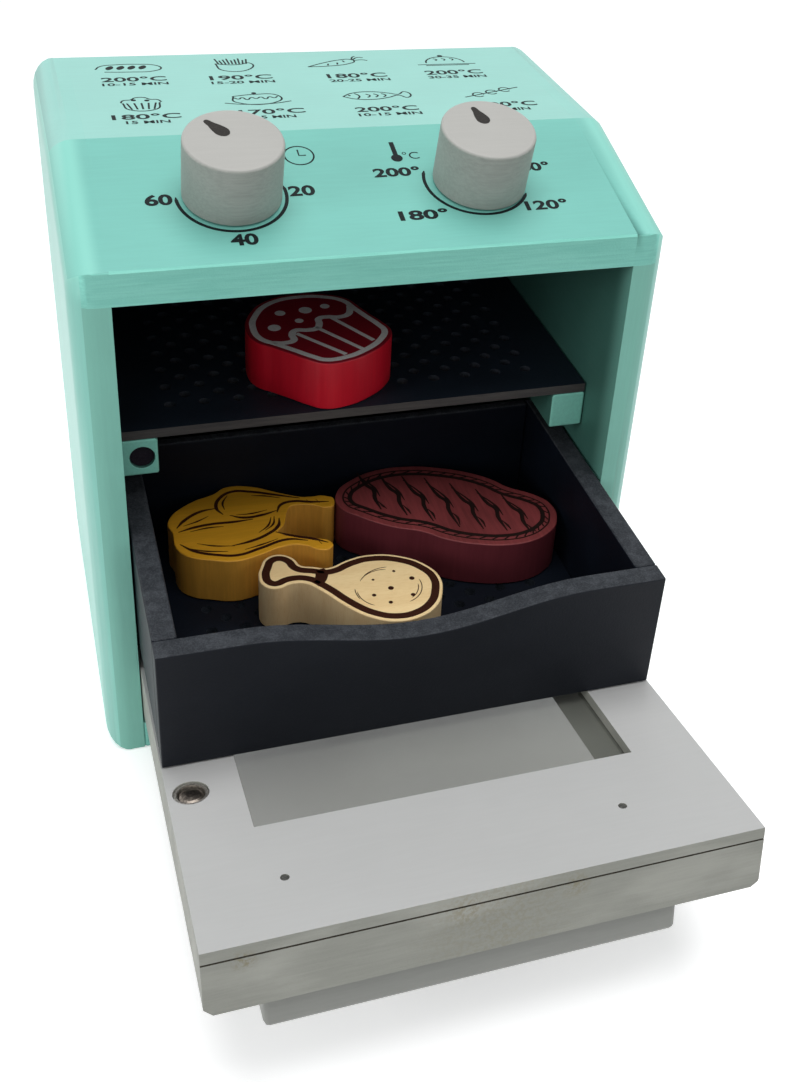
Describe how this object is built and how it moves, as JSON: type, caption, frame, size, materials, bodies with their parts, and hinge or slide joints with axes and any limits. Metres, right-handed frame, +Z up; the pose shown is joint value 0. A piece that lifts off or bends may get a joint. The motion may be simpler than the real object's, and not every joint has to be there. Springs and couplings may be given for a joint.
{
  "type": "toy air fryer",
  "caption": "Wooden toy air fryer with turning dials, a fold-down window door, a pull-out basket, a perforated rack and flat toy foods.",
  "frame": {"origin": "centre of the cabinet's footprint, on the surface that it stands on", "axes": "+Z up; +Y from the front towards the back; +X towards the viewer's right when facing the front"},
  "size_m": [0.2, 0.296, 0.2329],
  "materials": {
    "side_panel_left": "satin paint",
    "side_panel_right": "satin paint",
    "top_panel": "satin paint",
    "control_panel": "satin paint",
    "base_panel": "satin paint",
    "back_panel": "satin paint",
    "rack_rail_left": "satin paint",
    "rack_rail_right": "satin paint",
    "basket_runner_left": "satin paint",
    "basket_runner_right": "satin paint",
    "rack": "matt stain",
    "basket_front": "matt stain",
    "basket_left": "matt stain",
    "basket_right": "matt stain",
    "basket_back": "matt stain",
    "basket_floor": "matt stain",
    "dial_left": "satin paint",
    "dial_right": "satin paint",
    "door_frame": "satin paint",
    "door_panel": "satin paint",
    "door_handle": "satin paint",
    "dial_spindle_left": "bare",
    "dial_spindle_right": "bare",
    "dial_washer_left": "plain",
    "dial_washer_right": "plain",
    "hinge_pin_left": "plain",
    "hinge_pin_right": "plain",
    "catch_cup": "plain",
    "catch_magnet": "dark",
    "catch_button": "dark",
    "handle_pin_left": "dark",
    "handle_pin_right": "dark",
    "window_pane": "clear, slightly smoked",
    "cupcake": "gloss paint, printed",
    "roast_bird": "satin paint, engraved",
    "drumstick": "bare, engraved",
    "steak": "satin paint, engraved"
  },
  "bodies": {
    "cabinet": {"side_panel_left": "side_panel_left", "side_panel_right": "side_panel_right", "top_panel": "top_panel", "control_panel": "control_panel", "base_panel": "base_panel", "back_panel": "back_panel", "rack_rail_left": "rack_rail_left", "rack_rail_right": "rack_rail_right", "basket_runner_left": "basket_runner_left", "basket_runner_right": "basket_runner_right", "catch_magnet": "catch_magnet", "hinge_pin_left": "hinge_pin_left", "hinge_pin_right": "hinge_pin_right"},
    "left_dial": {"dial_left": "dial_left", "dial_spindle_left": "dial_spindle_left", "dial_washer_left": "dial_washer_left"},
    "right_dial": {"dial_right": "dial_right", "dial_spindle_right": "dial_spindle_right", "dial_washer_right": "dial_washer_right"},
    "shelf": {"rack": "rack"},
    "pull_out_basket": {"basket_front": "basket_front", "basket_left": "basket_left", "basket_right": "basket_right", "basket_back": "basket_back", "basket_floor": "basket_floor"},
    "fold_down_door": {"door_frame": "door_frame", "door_panel": "door_panel", "window_pane": "window_pane", "door_handle": "door_handle", "handle_pin_left": "handle_pin_left", "handle_pin_right": "handle_pin_right", "catch_cup": "catch_cup", "catch_button": "catch_button"},
    "toy_cupcake": {"cupcake": "cupcake"},
    "toy_roast": {"roast_bird": "roast_bird"},
    "toy_drumstick": {"drumstick": "drumstick"},
    "toy_steak": {"steak": "steak"}
  },
  "joints": [
    {"name": "dial_left_turn", "type": "hinge", "parent": "cabinet", "child": "left_dial", "pos_m": [-0.0446, -0.04217, 0.2077], "axis": [0, -0.2638, 0.9646], "continuous": true},
    {"name": "dial_right_turn", "type": "hinge", "parent": "cabinet", "child": "right_dial", "pos_m": [0.0399, -0.04217, 0.2077], "axis": [0, -0.2638, 0.9646], "continuous": true},
    {"name": "door_hinge", "type": "hinge", "parent": "cabinet", "child": "fold_down_door", "pos_m": [0, -0.06265, 0.0257], "axis": [1, 0, 0], "range_deg": [0, 10.4]},
    {"name": "basket_slide", "type": "slide", "parent": "cabinet", "child": "pull_out_basket", "axis": [0, 1, 0], "range_m": [0, 0.0839]},
    {"name": "rack_slide", "type": "slide", "parent": "cabinet", "child": "shelf", "axis": [0, -1, 0], "range_m": [0, 0.09]},
    {"name": "cupcake_lift", "type": "slide", "parent": "shelf", "child": "toy_cupcake", "axis": [0, 0, 1], "range_m": [0, 0.038]},
    {"name": "roast_lift", "type": "slide", "parent": "pull_out_basket", "child": "toy_roast", "axis": [0, 0, 1], "range_m": [0, 0.044]},
    {"name": "drumstick_lift", "type": "slide", "parent": "pull_out_basket", "child": "toy_drumstick", "axis": [0, 0, 1], "range_m": [0, 0.044]},
    {"name": "steak_lift", "type": "slide", "parent": "pull_out_basket", "child": "toy_steak", "axis": [0, 0, 1], "range_m": [0, 0.031]}
  ]
}
